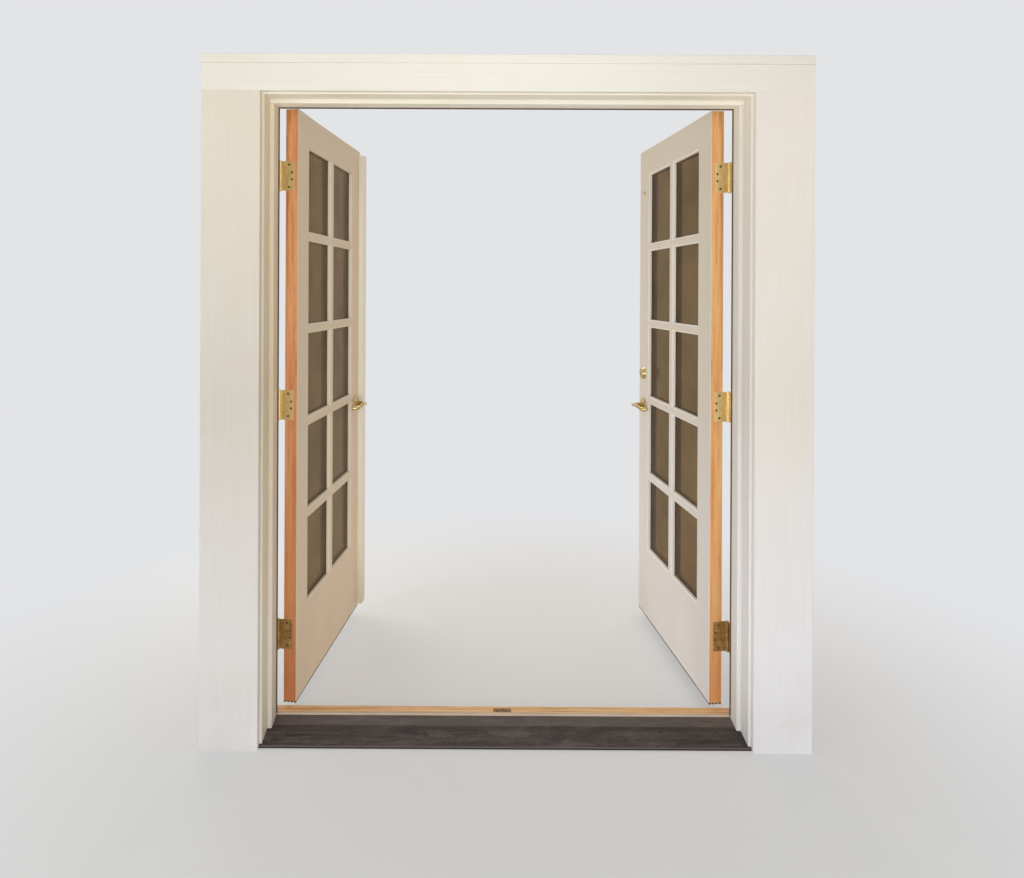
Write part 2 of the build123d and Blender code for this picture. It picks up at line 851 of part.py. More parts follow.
def frame_nodes():
    """Everything fixed to the wall, by node name."""
    sill_body = sill()
    jamb = left_jamb(sill_body)
    stop = left_stop(sill_body)
    casing = left_casing()
    plates = frame_hinges()
    pins = [hinge_pin(level) for level in hinge_levels]
    screws = hinge_screws(-hinge_gap, -1)
    return {
        "left_jamb": [jamb],
        "right_jamb": [mirror(jamb, about=Plane.YZ)],
        "head_jamb": [head_jamb()],
        "left_stop": [stop],
        "right_stop": [mirror(stop, about=Plane.YZ)],
        "head_stop": [head_stop()],
        "left_casing": [casing],
        "right_casing": [mirror(casing, about=Plane.YZ)],
        "head_casing": [head_casing()],
        "head_cap": [head_cap()],
        "sill": [sill_body],
        "threshold": [threshold()],
        "weatherstrip": weatherstrip(),
        "frame_hinges": [seat(plate, side) for side in ("left", "right") for plate in plates],
        "hinge_pins": [seat(pin, side) for side in ("left", "right") for pin in pins],
        "frame_hinge_screws": [seat(screw, side) for side in ("left", "right") for screw in screws],
        "bolt_strikes": bolt_strikes(),
    }


def shared_leaf_nodes(side, wood):
    """Woodwork, glass and hinges that both leaves have."""
    hinge_stile = wood["hinge_stile"]
    for gain in hinge_gains(0, hinge_thickness):
        hinge_stile -= gain
    pieces = {
        "hinge_stile": [hinge_stile],
        "top_rail": [wood["top_rail"]],
        "bottom_rail": [wood["bottom_rail"]],
        "upright_muntin": wood["upright_muntin"],
        "cross_muntins": wood["cross_muntins"],
        "panes": panes(),
        "glazing_beads": glazing_beads(),
        "bottom_seal": [bottom_seal()],
        "leaf_hinges": leaf_hinges(),
        "hinge_screws": hinge_screws(0, 1),
    }
    return {f"{side}_{name}": [hang(piece, side) for piece in found] for name, found in pieces.items()}


def left_leaf_nodes(wood):
    """The passive leaf with its astragal, bolts, strikes and fixed levers."""
    nodes = shared_leaf_nodes("left", wood)
    pockets = [latch_pocket(), deadbolt_pocket()]
    plates = [lock_strike_plate(lever_height), lock_strike_plate(deadbolt_height)]
    strip = astragal()
    for cut in pockets + plates:
        strip -= cut
    pieces = {
        "left_meeting_stile": [wood["meeting_stile"] - pockets[1]],
        "astragal": [strip],
        "astragal_seal": [astragal_seal()],
        "lock_strikes": [plate - pocket for plate, pocket in zip(plates, pockets)],
        "top_flush_bolt": [flush_bolt(leaf_height - bolt_sink - bolt_length, top_tab_low())],
        "bottom_flush_bolt": [flush_bolt(bolt_sink, bottom_tab_low())],
        "left_roses": [rose(-1, 0), rose(1, 0)],
        "left_outside_lever": [lever(-1, 0, False)],
        "left_inside_lever": [lever(1, 0, False)],
    }
    nodes.update({name: [hang(piece, "left") for piece in found] for name, found in pieces.items()})
    return nodes


def right_leaf_nodes(wood):
    """The active leaf with its lever set, latch and deadbolt."""
    nodes = shared_leaf_nodes("right", wood)
    meeting_stile = wood["meeting_stile"]
    for cut in lock_bores():
        meeting_stile -= cut
    latch = (latch_tube_radius, latch_inset + slide_play, latch_side, latch_side)
    bolt = (deadbolt_tube_radius, deadbolt_inset + slide_play, deadbolt_thick, deadbolt_tall)
    pieces = {
        "right_meeting_stile": [meeting_stile],
        "outside_rose": [rose(-1, spindle_bore_radius)],
        "inside_rose": [rose(1, spindle_bore_radius)],
        "outside_lever": [lever(-1, touch_gap, True)],
        "inside_lever": [lever(1, touch_gap, True)],
        "lever_spindle": [spindle()],
        "latch_case": [bolt_case(lever_height, *latch)],
        "latch_bolt": [latch_bolt()],
        "deadbolt_case": [bolt_case(deadbolt_height, *bolt)],
        "deadbolt": [deadbolt()],
        "deadbolt_cylinder": [deadbolt_cylinder()],
        "deadbolt_rose": [deadbolt_rose()],
        "thumb_turn": [thumb_turn()],
        "keyhole_plate": [keyhole_plate()],
    }
    nodes.update({name: [hang(piece, "right") for piece in found] for name, found in pieces.items()})
    return nodes


def main():
    """Writes one STEP file for each node."""
    os.makedirs("parts", exist_ok=True)
    wood = leaf_frame()
    nodes = {**frame_nodes(), **left_leaf_nodes(wood), **right_leaf_nodes(wood)}
    for name, pieces in nodes.items():
        export_step(Compound(children=solids_of(pieces)), f"parts/{name}.step")


main()
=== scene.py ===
# %% [markdown]
# # A pair of French doors, finished as a lesson in Blender
#
# The doors come in as a measured model: frame, two glazed leaves, hinges and locks, all in
# metres. Its shapes are already right. This lesson gives each part the surface that the real
# one has, adds the small cross-head screws, and sets up a floor, soft lamps and a camera.

import math

import bmesh
import bpy
from mathutils import Matrix, Vector


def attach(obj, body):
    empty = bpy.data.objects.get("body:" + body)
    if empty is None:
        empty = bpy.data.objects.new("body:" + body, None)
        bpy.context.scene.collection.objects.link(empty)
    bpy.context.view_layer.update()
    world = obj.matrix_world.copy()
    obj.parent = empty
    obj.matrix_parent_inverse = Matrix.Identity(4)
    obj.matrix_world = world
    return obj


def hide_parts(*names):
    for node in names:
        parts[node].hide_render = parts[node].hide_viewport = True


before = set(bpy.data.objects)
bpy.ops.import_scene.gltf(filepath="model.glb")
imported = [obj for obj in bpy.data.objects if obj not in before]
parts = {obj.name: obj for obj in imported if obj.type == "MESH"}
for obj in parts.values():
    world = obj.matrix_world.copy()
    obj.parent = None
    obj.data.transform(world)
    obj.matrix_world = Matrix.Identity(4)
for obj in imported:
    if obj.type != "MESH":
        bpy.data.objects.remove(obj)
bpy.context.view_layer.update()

# %% [markdown]
# ## Where things are
#
# Both leaves stand open. Each turns on a hinge pin, so it has a frame of its own: s runs from
# the hinge edge across the leaf, n from its outside face to its inside face, and t up from its
# bottom edge. One matrix per leaf takes s, n and t to the x, y and z of the scene. Screws are
# placed with it, and the paint reads it backwards, so that brush strokes follow each leaf
# however it stands. The right leaf is the left one in a mirror, but for its own angle.

# %% The frame of each leaf
leaf_low = 0.044
hinge_edge, closed_face = -0.771, 0.1165
pin = Vector((-0.7725, 0.181, 0))
left_turn, right_turn = math.radians(83.2), math.radians(85.4)
mirror = Matrix.Diagonal((-1, 1, 1, 1))


def leaf_matrix(turn):
    """Matrix from the s, n and t of a leaf on the left to the scene."""
    closed = Matrix.Translation((hinge_edge, closed_face, leaf_low))
    swing = Matrix.Translation(pin) @ Matrix.Rotation(turn, 4, "Z") @ Matrix.Translation(-pin)
    return swing @ closed


leaf_place = {"left": leaf_matrix(left_turn), "right": mirror @ leaf_matrix(right_turn)}
for side, place in leaf_place.items():
    print(side, "leaf starts at", [round(value, 4) for value in place.translation])

# %% [markdown]
# ## The camera
#
# The doors were photographed from a little left of their middle, at eye height, and close by,
# so the view is wide. The lens looks level and the frame is shifted down and right, which keeps
# the uprights of the frame upright, as in most pictures of buildings. Place, tilt and shift were
# solved from the corners of the doors, so they are numbers that no rule of thumb would give.

# %% Camera
image_width, image_height = 1024, 878
focal_pixels = 709.28
middle_x, middle_y = 469.4, 291.26
eye = (-0.1150, -2.2572, 1.4554)
pitch, roll, yaw = math.pi / 2 - 0.0008, -0.0046, 0.0019

lens = bpy.data.cameras.new("door_camera")
lens.sensor_width = 36
lens.lens = focal_pixels / image_width * lens.sensor_width
lens.shift_x = (image_width / 2 - middle_x) / image_width
lens.shift_y = (middle_y - image_height / 2) / image_width
camera = bpy.data.objects.new("door_camera", lens)
camera.location = eye
camera.rotation_euler = (pitch, roll, yaw)
bpy.context.scene.collection.objects.link(camera)
bpy.context.scene.camera = camera
print("lens", round(lens.lens, 2), "mm, shift", round(lens.shift_x, 3), round(lens.shift_y, 3))

# %% [markdown]
# ## From screen colours to shader colours
#
# Colours are read off a screen as red, green and blue up to 255, and shaders count light
# instead. One small function turns the first into the second, so every finish below can be
# written in the numbers that an eyedropper shows.

# %% Colours and plain view settings


def tint(red, green, blue):
    """A screen colour as the linear colour that a shader takes."""
    parts_of_light = []
    for value in (red / 255, green / 255, blue / 255):
        low = value / 12.92
        parts_of_light.append(low if value <= 0.04045 else ((value + 0.055) / 1.055) ** 2.4)
    return (*parts_of_light, 1)


bpy.context.scene.view_settings.view_transform = "Standard"
print("mid grey is", [round(value, 3) for value in tint(128, 128, 128)])

# %% [markdown]
# ## A studio sky
#
# The world is one pale grey, a little darker than the paint, so that white doors stand out from
# it. What the camera, glass and brass see of it is that grey. The light that it sheds on paint
# is softer, so white paint stays below white. Blender tells the two apart by the kind of ray,
# and the floor asks the same question later, so the answer is a helper of its own.

# %% Rays that look
studio_grey = tint(227, 228, 230)


def looking_rays(tree):
    """1 for rays that look, straight, in gloss or through glass, and 0 for those that light."""
    rays = tree.nodes.new("ShaderNodeLightPath")
    looks = rays.outputs["Is Camera Ray"]
    for kind in ("Is Glossy Ray", "Is Transmission Ray"):
        greater = tree.nodes.new("ShaderNodeMath")
        greater.operation = "MAXIMUM"
        tree.links.new(looks, greater.inputs[0])
        tree.links.new(rays.outputs[kind], greater.inputs[1])
        looks = greater.outputs[0]
    return looks


print("the studio is", [round(value, 3) for value in studio_grey])

# %% World
light_shed = 0.53
world = bpy.data.worlds.new("studio")
world.use_nodes = True
bpy.context.scene.world = world
sky_tree = world.node_tree
sky = sky_tree.nodes["Background"]
sky.inputs["Color"].default_value = studio_grey
strength = sky_tree.nodes.new("ShaderNodeMapRange")
strength.inputs["To Min"].default_value = light_shed
strength.inputs["To Max"].default_value = 1.0
sky_tree.links.new(looking_rays(sky_tree), strength.inputs["Value"])
sky_tree.links.new(strength.outputs["Result"], sky.inputs["Strength"])
print("the sky sheds", light_shed)

# %% [markdown]
# ## Lamps
#
# The strongest lamp is a broad one far out in front, like the open sky: it gets past the jambs
# and picks out every face that looks towards us. A low one lights what faces down, as pale
# ground does. A lamp on the left gives the right leaf the brighter face. Three warm ones stand
# behind: one high up, and one on each side, which reach the faces of the open leaves past each
# other. The camera never sees a lamp itself, so none is seen through the panes either, and the
# two at the sides aren't mirrored in them.

# %% Lamps


def soft_lamp(name, spot, towards, width, power, colour, mirrored=True):
    """A square area lamp that faces a point; gloss may leave it out."""
    light = bpy.data.lights.new(name, "AREA")
    light.size = width
    light.energy = power
    light.color = colour
    lamp = bpy.data.objects.new(name, light)
    lamp.location = spot
    lamp.rotation_euler = (Vector(towards) - Vector(spot)).to_track_quat("-Z", "Y").to_euler()
    lamp.visible_transmission = False
    lamp.visible_glossy = mirrored
    bpy.context.scene.collection.objects.link(lamp)
    print(name, "gives", power, "W from", width, "m")


soft_lamp("front_lamp", (0.8, -9.0, 1.9), (0, 0, 1.1), 5.5, 256, (1, 0.995, 0.98))
soft_lamp("ground_lamp", (0, -2.9, 0.3), (0, 0.1, 1.9), 1.6, 31, (1, 0.98, 0.84))
soft_lamp("left_lamp", (-3.8, -2.6, 1.3), (0.5, 0.4, 0.9), 2.2, 40, (0.95, 0.98, 1))
soft_lamp("back_lamp", (0.2, 3.0, 4.4), (0, 0.4, 0.9), 1.8, 34, (1, 0.9, 0.78))
soft_lamp("left_back_lamp", (-1.7, 2.2, 1.1), (0.75, 0.5, 1.0), 1.4, 26, (1, 0.92, 0.74), False)
soft_lamp("right_back_lamp", (1.7, 2.2, 1.1), (-0.75, 0.5, 1.0), 1.4, 10, (1, 0.6, 0.25), False)

# %% [markdown]
# ## Deselect before modelling
#
# Blender's operators act on everything that is selected, and a model that has just come in is
# selected all over. Each piece below therefore starts from a clean selection.

# %% Clean selection


def deselect_everything():
    """Leave edit mode and select nothing."""
    if bpy.context.object and bpy.context.object.mode != "OBJECT":
        bpy.ops.object.mode_set(mode="OBJECT")
    bpy.ops.object.select_all(action="DESELECT")


deselect_everything()
print("selected:", len(bpy.context.selected_objects))

# %% [markdown]
# ## A floor without a horizon
#
# A real studio floor curves up at the back, so no edge shows. Here the floor stays flat. Near
# the doors it is only lifted a little, so it keeps their shadow, and further out it fades to the
# sky's own colour, for rays that look at it. Rays that only carry light meet plain pale paint.

# %% Floor plane
floor_width = 80
bpy.ops.mesh.primitive_plane_add(size=floor_width, location=(0, 0, 0))
studio_floor = bpy.context.object
studio_floor.name = "studio_floor"
print("floor is", round(studio_floor.dimensions.x), "m wide")

# %% Floor paint
fade_start, fade_end, least_fade = 0.5, 2.7, 0.35
floor_paint = bpy.data.materials.new("floor_paint")
floor_paint.use_nodes = True
tree = floor_paint.node_tree
floor_shader = tree.nodes["Principled BSDF"]
floor_shader.inputs["Base Color"].default_value = tint(226, 225, 222)
floor_shader.inputs["Roughness"].default_value = 0.9
floor_shader.inputs["Specular IOR Level"].default_value = 0.1
glow = tree.nodes.new("ShaderNodeEmission")
glow.inputs["Color"].default_value = studio_grey
spot = tree.nodes.new("ShaderNodeTexCoord")
distance = tree.nodes.new("ShaderNodeVectorMath")
distance.operation = "LENGTH"
fade = tree.nodes.new("ShaderNodeMapRange")
fade.interpolation_type = "SMOOTHSTEP"
fade.inputs["From Min"].default_value = fade_start
fade.inputs["From Max"].default_value = fade_end
fade.inputs["To Min"].default_value = least_fade
seen_fade = tree.nodes.new("ShaderNodeMath")
seen_fade.operation = "MULTIPLY"
either = tree.nodes.new("ShaderNodeMixShader")
for source, target in (
    (spot.outputs["Object"], distance.inputs[0]),
    (distance.outputs["Value"], fade.inputs["Value"]),
    (looking_rays(tree), seen_fade.inputs[0]),
    (fade.outputs["Result"], seen_fade.inputs[1]),
    (seen_fade.outputs[0], either.inputs[0]),
    (floor_shader.outputs[0], either.inputs[1]),
    (glow.outputs[0], either.inputs[2]),
    (either.outputs[0], tree.nodes["Material Output"].inputs["Surface"]),
):
    tree.links.new(source, target)
studio_floor.data.materials.append(floor_paint)
print("floor fades from", fade_start, "to", fade_end, "m")

# %% [markdown]
# ## Where a finish reads its place
#
# Nearly every finish here is built the same way: coordinates, stretched along the grain, feed a
# noise, and a ramp turns the noise into two or three close colours. Helpers add those nodes and
# return the socket that the next one reads, so each finish can be read as a recipe. The first
# ones make the material and give it coordinates: those of the object, or a leaf's own.

# %% Material and coordinates


def new_finish(name, rough, metal=0.0, gloss=0.5):
    """A material with one Principled shader, whose plain values are set on its own sockets."""
    finish = bpy.data.materials.new(name)
    finish.use_nodes = True
    tree = finish.node_tree
    shader = tree.nodes["Principled BSDF"]
    shader.inputs["Roughness"].default_value = rough
    shader.inputs["Metallic"].default_value = metal
    shader.inputs["Specular IOR Level"].default_value = gloss
    return finish, tree, shader


def here(tree, side=None):
    """Object coordinates, or with a side the s, n and t of that leaf."""
    where = tree.nodes.new("ShaderNodeTexCoord").outputs["Object"]
    if side is None:
        return where
    own = tree.nodes.new("ShaderNodeMapping")
    own.vector_type = "TEXTURE"
    own.inputs["Location"].default_value = leaf_place[side].translation
    turn = left_turn if side == "left" else -right_turn
    own.inputs["Rotation"].default_value = (0, 0, turn)
    own.inputs["Scale"].default_value = (1 if side == "left" else -1, 1, 1)
    tree.links.new(where, own.inputs["Vector"])
    return own.outputs["Vector"]


def stretched(tree, where, density):
    """The same coordinates, denser across the grain than along it."""
    squeeze = tree.nodes.new("ShaderNodeMapping")
    squeeze.inputs["Scale"].default_value = density
    tree.links.new(where, squeeze.inputs["Vector"])
    return squeeze.outputs["Vector"]


def axes(tree, where):
    """The three single values of a place."""
    split = tree.nodes.new("ShaderNodeSeparateXYZ")
    tree.links.new(where, split.inputs[0])
    return split.outputs


print("coordinates ready")

# %% [markdown]
# ## Patterns and masks
#
# A noise gives a value between 0 and 1, a ramp gives that value colours, and a reach cuts a mask
# out of any value, such as the height above the floor. With a lower limit above the upper one,
# the mask runs the other way.

# %% Noise, ramp and reach


def noise(tree, where, scale=1.0, detail=3.0, rough=0.55, bend=0.0):
    """Value of a noise from 0 to 1."""
    cloud = tree.nodes.new("ShaderNodeTexNoise")
    cloud.inputs["Scale"].default_value = scale
    cloud.inputs["Detail"].default_value = detail
    cloud.inputs["Roughness"].default_value = rough
    cloud.inputs["Distortion"].default_value = bend
    tree.links.new(where, cloud.inputs["Vector"])
    return cloud.outputs["Fac"]


def ramp(tree, value, *stops):
    """Colours along a value: each stop is where it lies and its colour."""
    band = tree.nodes.new("ShaderNodeValToRGB")
    while len(band.color_ramp.elements) < len(stops):
        band.color_ramp.elements.new(0.5)
    for element, (spot, colour) in zip(band.color_ramp.elements, stops):
        element.position = spot
        element.color = colour
    tree.links.new(value, band.inputs["Fac"])
    return band.outputs["Color"]


def reach(tree, value, low, high):
    """0 below low, 1 above high, and even between them; low may be the greater one."""
    step = tree.nodes.new("ShaderNodeMapRange")
    step.inputs["From Min"].default_value = low
    step.inputs["From Max"].default_value = high
    tree.links.new(value, step.inputs["Value"])
    return step.outputs["Result"]


print("patterns ready")

# %% [markdown]
# ## Layers
#
# Dirt over paint and paint over wood are layers, and a mask says where the upper one lies. Masks
# are combined by plain arithmetic: a product is where both hold.

# %% Sums and layers


def sums(tree, kind, first, second):
    """One Math node; the second may be a plain number."""
    node = tree.nodes.new("ShaderNodeMath")
    node.operation = kind
    tree.links.new(first, node.inputs[0])
    if isinstance(second, (int, float)):
        node.inputs[1].default_value = second
    else:
        tree.links.new(second, node.inputs[1])
    return node.outputs[0]


def over(tree, mask, under, top, kind="MIX"):
    """Top laid over under where the mask is 1. Either may be a socket or a plain colour."""
    mix = tree.nodes.new("ShaderNodeMix")
    mix.data_type = "RGBA"
    mix.blend_type = kind
    for value, socket in ((mask, mix.inputs[0]), (under, mix.inputs[6]), (top, mix.inputs[7])):
        if isinstance(value, bpy.types.NodeSocket):
            tree.links.new(value, socket)
        else:
            socket.default_value = value
    return mix.outputs[2]


print("layers ready")

# %% [markdown]
# ## Relief and gloss
#
# The noise that colours a surface can also raise it and make it duller or glossier. Sharing one
# noise keeps a finish believable, because on real paint and brass the streak, the ridge and the
# change in gloss are one thing.

# %% Relief and roughness


def relief(tree, shader, height, depth):
    """Bump of the height socket, as deep as given in metres."""
    bump = tree.nodes.new("ShaderNodeBump")
    bump.inputs["Strength"].default_value = 1.0
    bump.inputs["Distance"].default_value = depth
    tree.links.new(height, bump.inputs["Height"])
    tree.links.new(bump.outputs["Normal"], shader.inputs["Normal"])


def wear_roughness(tree, shader, value, low, high):
    """Roughness between two values, read from a noise."""
    step = tree.nodes.new("ShaderNodeMapRange")
    step.inputs["To Min"].default_value = low
    step.inputs["To Max"].default_value = high
    tree.links.new(value, step.inputs["Value"])
    tree.links.new(step.outputs["Result"], shader.inputs["Roughness"])


print("relief ready")

# %% [markdown]
# ## Painted wood
#
# The frame and both leaves are wood under off-white oil paint. Brushed paint is never one flat
# colour: strokes run along each member, the coat drifts a little from yellow to grey over an
# arm's length, and dirt gathers low down. The strokes are a noise nearly fifty times denser
# across the grain than along it. They tint the coat slightly and lift it by about a tenth of a
# millimetre, so they show in a raking light as they do on the real doors. A coat is given as
# three colours, for eye height and above, for the middle, and for the part near the ground.
# These three carry painted light: warmer up high, and greyer and cooler near the ground, as
# light and shade fall on the doors.

# %% Paint recipe
along_up = (150, 150, 3.2)
along_across = (3.2, 150, 150)
door_height, dirt_height = 2.2, 0.34
plain = (1, 1, 1, 1)
stroke_shade = (0.962, 0.962, 0.958, 1)
yellowing = (0.985, 0.972, 0.94, 1)
ground_dirt = tint(160, 150, 136)


def painted(name, coats, grain, side=None, grime=0.25):
    """Brushed paint, and the sockets that a bare edge or dirt can be laid over."""
    finish, tree, shader = new_finish(name, 0.42, gloss=0.4)
    where = here(tree, side)
    level = axes(tree, here(tree))[2]
    strokes = noise(tree, stretched(tree, where, grain), detail=5, rough=0.6, bend=0.15)
    drift = noise(tree, where, scale=2.3, detail=3, bend=0.4)
    specks = noise(tree, where, scale=170, detail=2)
    high, middle, low = coats
    # Painted light: up the height the coat runs from the cooler, greyer low colour to the warmer
    # high one, as light falls on it.
    upwards = reach(tree, level, 0.0, door_height)
    coat_with_painted_light = ramp(tree, upwards, (0.08, low), (0.5, middle), (0.9, high))
    brushed = ramp(tree, strokes, (0.34, stroke_shade), (0.62, plain))
    colour = over(tree, 1.0, coat_with_painted_light, brushed, "MULTIPLY")
    aged = ramp(tree, drift, (0.4, plain), (0.7, yellowing))
    colour = over(tree, 1.0, colour, aged, "MULTIPLY")
    low_down = reach(tree, level, dirt_height, 0.0)
    dirt = sums(tree, "MULTIPLY", low_down, reach(tree, drift, 0.35, 0.7))
    dirt = sums(tree, "MULTIPLY", dirt, grime)
    colour = over(tree, dirt, colour, ground_dirt)
    tree.links.new(colour, shader.inputs["Base Color"])
    wear_roughness(tree, shader, strokes, 0.34, 0.52)
    height = sums(tree, "ADD", strokes, sums(tree, "MULTIPLY", specks, 0.25))
    relief(tree, shader, height, 0.0002)
    return finish, tree, shader, colour, where


print("paint runs along the grain", round(along_up[0] / along_up[2]), "times longer")

# %% [markdown]
# ## The frame's coats
#
# Each side of the frame has a coat of its own, and these coats carry painted light and shade:
# the two casings differ, and so do the jambs with their stops, as each side stands in its own
# light. The head is the palest, a painted highlight of the light from below, and painted shade
# dulls its casing towards its two ends.

# %% Coats of the frame
# Lit and shaded copies of one off-white paint: each coat carries the painted light of its place
# in the doorway.
frame_coats_painted_light = {
    ("left_casing",): (tint(230, 222, 207), tint(208, 202, 193), tint(224, 221, 224)),
    ("right_casing",): (tint(242, 234, 225), tint(232, 226, 220), tint(238, 238, 246)),
    ("left_jamb", "left_stop"): (tint(234, 221, 197), tint(214, 200, 176), tint(228, 220, 208)),
    ("right_jamb", "right_stop"): (
        tint(234, 228, 217), tint(224, 220, 219), tint(242, 242, 248)
    ),
    ("head_casing", "head_cap"): [tint(249, 245, 235)] * 3,
    ("head_jamb", "head_stop"): [tint(249, 244, 231)] * 3,
}
end_shade_from, end_shade_to, end_shade = 0.1, 0.9, (0.91, 0.9, 0.89, 1)
for names, coats in frame_coats_painted_light.items():
    grain = along_across if "head" in names[0] else along_up
    frame_paint, tree, shader, colour, where = painted(names[0] + "_paint", coats, grain)
    # Painted shade: the head casing darkens towards its two ends.
    if names[0] == "head_casing":
        from_middle = sums(tree, "ABSOLUTE", axes(tree, where)[0], 0)
        shaded_ends = reach(tree, from_middle, end_shade_from, end_shade_to)
        colour = over(tree, shaded_ends, colour, end_shade, "MULTIPLY")
        tree.links.new(colour, shader.inputs["Base Color"])
    for name in names:
        parts[name].data.materials[0] = frame_paint
print(len(frame_coats_painted_light), "frame coats")

# %% [markdown]
# ## Bare wood
#
# The hinge edges of the leaves, the threshold and the stained sill show their wood. Long figure
# and short dark pores are two noises on the same grain, the second four times as fine. The same
# helper serves all of them, with the tones of each wood.

# %% Wood figure


def wood_figure(tree, where, dark, mid, pale, density):
    """Colour of long grain with thin dark pores, and the noise of its figure."""
    figure = noise(tree, stretched(tree, where, density), detail=6, rough=0.62, bend=0.5)
    pores = noise(tree, stretched(tree, where, tuple(value * 4 for value in density)), detail=2)
    colour = ramp(tree, figure, (0.3, dark), (0.48, mid), (0.68, pale))
    return over(tree, reach(tree, pores, 0.6, 0.72), colour, dark), figure


print("wood figure ready")

# %% [markdown]
# ## Leaves, and their bare edges
#
# The outside faces of the leaves have a warmer, darker coat, which is painted shade with warm
# bounced light, and the inside of both one plain off-white. The sides of the bars and the free
# edges get a whiter coat, which is a painted highlight of the light that reaches them, and so
# does the astragal: a test on n, the depth into the leaf, finds whatever lies behind the two
# faces.
# The hinge edges were left bare. With the leaves open they face the camera as two upright
# stripes of varnished wood, golden on the right and redder on the left. The bare wood lies only
# on the flat of the edge, where s is almost nothing. A little noise in that test lets the paint
# creep over the corner here and there, and the wood darkens towards the foot.

# %% Leaf paint
leaf_depth = 0.0445
face_skin, side_start = 0.0006, 0.002
bare_full, bare_none, most_creep = 0.0006, 0.0009, 0.0025
inside_coat = tint(226, 221, 210)


def leaf_painted(name, side, coats, lit_side_coat, grain, bare=None, darker=None):
    """Leaf paint, and with bare wood tones a hinge edge that the paint doesn't cover."""
    finish, tree, shader, colour, where = painted(name, coats, grain, side)
    s, n, t = axes(tree, where)
    behind_faces = sums(
        tree, "MULTIPLY", reach(tree, n, face_skin, side_start),
        reach(tree, n, leaf_depth - face_skin, leaf_depth - side_start),
    )
    inside = reach(tree, n, leaf_depth - side_start, leaf_depth - face_skin)
    coat = over(tree, inside, colour, over(tree, 0.3, inside_coat, colour))
    # Painted highlight: behind the two faces, the sides take a paler lit coat.
    colour = over(tree, behind_faces, coat, over(tree, 0.25, lit_side_coat, colour))
    if bare:
        wood = wood_figure(tree, where, *bare, (60, 60, 2.2))[0]
        creep = noise(tree, stretched(tree, where, (1, 1, 9)), detail=4)
        crept = sums(tree, "SUBTRACT", n, sums(tree, "MULTIPLY", creep, most_creep))
        on_edge = reach(tree, s, bare_none, bare_full)
        uncovered = reach(tree, crept, 0, face_skin)
        dark_height, dark_share = darker
        low = sums(tree, "MULTIPLY", reach(tree, t, dark_height, 0.0), dark_share)
        wood = over(tree, low, wood, bare[0])
        colour = over(tree, sums(tree, "MULTIPLY", on_edge, uncovered), colour, wood)
    tree.links.new(colour, shader.inputs["Base Color"])
    return finish


print("leaf paint ready")

# %% [markdown]
# ## Coats of the leaves
#
# Grain runs up in stiles and upright muntins, and across in rails and cross muntins, so each
# leaf takes its coat in both directions, and a third time with the bare hinge edge. A glazing
# bead runs all round its pane, and takes the coat that runs across. The astragal is one more
# upright piece, in a paler coat that is a painted highlight, with more dirt at its foot.

# %% Finish both leaves
# The face coats are painted shade, warm where light bounces in, and the side coats are painted
# highlights, each leaf in its own light.
face_coats_painted_shade = {
    "left": (tint(222, 203, 173), tint(217, 201, 176), tint(229, 208, 181)),
    "right": (tint(218, 206, 188), tint(216, 208, 199), tint(232, 228, 230)),
}
lit_side_coats = {"left": tint(234, 225, 209), "right": tint(251, 247, 239)}
bare_wood = {
    "left": (tint(178, 104, 64), tint(229, 157, 103), tint(240, 180, 124)),
    "right": (tint(198, 127, 77), tint(234, 174, 110), tint(243, 197, 133)),
}
darker_below = {"left": (1.35, 0.75), "right": (0.75, 0.6)}
for side in ("left", "right"):
    coats, lit_side_coat = face_coats_painted_shade[side], lit_side_coats[side]
    upright = leaf_painted(side + "_leaf_paint_up", side, coats, lit_side_coat, along_up)
    across = leaf_painted(side + "_leaf_paint_across", side, coats, lit_side_coat, along_across)
    hinge_side = leaf_painted(
        side + "_hinge_edge", side, coats, lit_side_coat, along_up, bare_wood[side], darker_below[side]
    )
    parts[side + "_hinge_stile"].data.materials[0] = hinge_side
    for name in ("_meeting_stile", "_upright_muntin"):
        parts[side + name].data.materials[0] = upright
    for name in ("_top_rail", "_bottom_rail", "_cross_muntins", "_glazing_beads"):
        parts[side + name].data.materials[0] = across
    print(side, "leaf painted")

# %% Astragal
# Painted highlight: the astragal's paler coat stands in for the light that falls on it.
astragal_coats_painted_highlight = [tint(241, 234, 221)] * 3
astragal_paint = painted("astragal_paint", astragal_coats_painted_highlight, along_up, "left", grime=0.5)[0]
parts["astragal"].data.materials[0] = astragal_paint
print("astragal painted")

# %% [markdown]
# ## Sill
#
# The sloping sill was stained dark and has greyed where rain reaches it. A painted highlight
# runs pale along its rounded nose, the face under the nose is painted nearly black as painted
# shade, and a darker line crosses its middle, where water drips off the closed leaves. Behind
# that line the stain is dusty and lighter. It is a single piece of wood, so one finish reads its
# place and picks the zone: y grows from the nose, which stands a little before 0, back towards
# the threshold.

# %% Sill stain
drip_start, drip_full, drip_end, dust_start = 0.044, 0.062, 0.073, 0.078
sill_finish, tree, shader = new_finish("sill_stain_worn", 0.6, gloss=0.35)
where = here(tree)
y, z = axes(tree, where)[1:]
stain, figure = wood_figure(
    tree, where, tint(38, 33, 31), tint(66, 58, 55), tint(88, 79, 76), (7, 75, 75)
)
blotches = noise(tree, stretched(tree, where, (5, 12, 12)), scale=1.6, detail=6, rough=0.68)
pits = noise(tree, stretched(tree, where, (60, 160, 160)), detail=3)
stain = over(tree, reach(tree, blotches, 0.52, 0.7), stain, tint(100, 92, 88))
stain = over(tree, reach(tree, blotches, 0.46, 0.3), stain, tint(44, 38, 36))
stain = over(tree, reach(tree, pits, 0.64, 0.7), stain, tint(34, 28, 27))
dusty = sums(tree, "MULTIPLY", reach(tree, y, drip_end, dust_start), 0.3)
stain = over(tree, dusty, stain, tint(132, 120, 112))
drip_front = reach(tree, y, drip_start, drip_full)
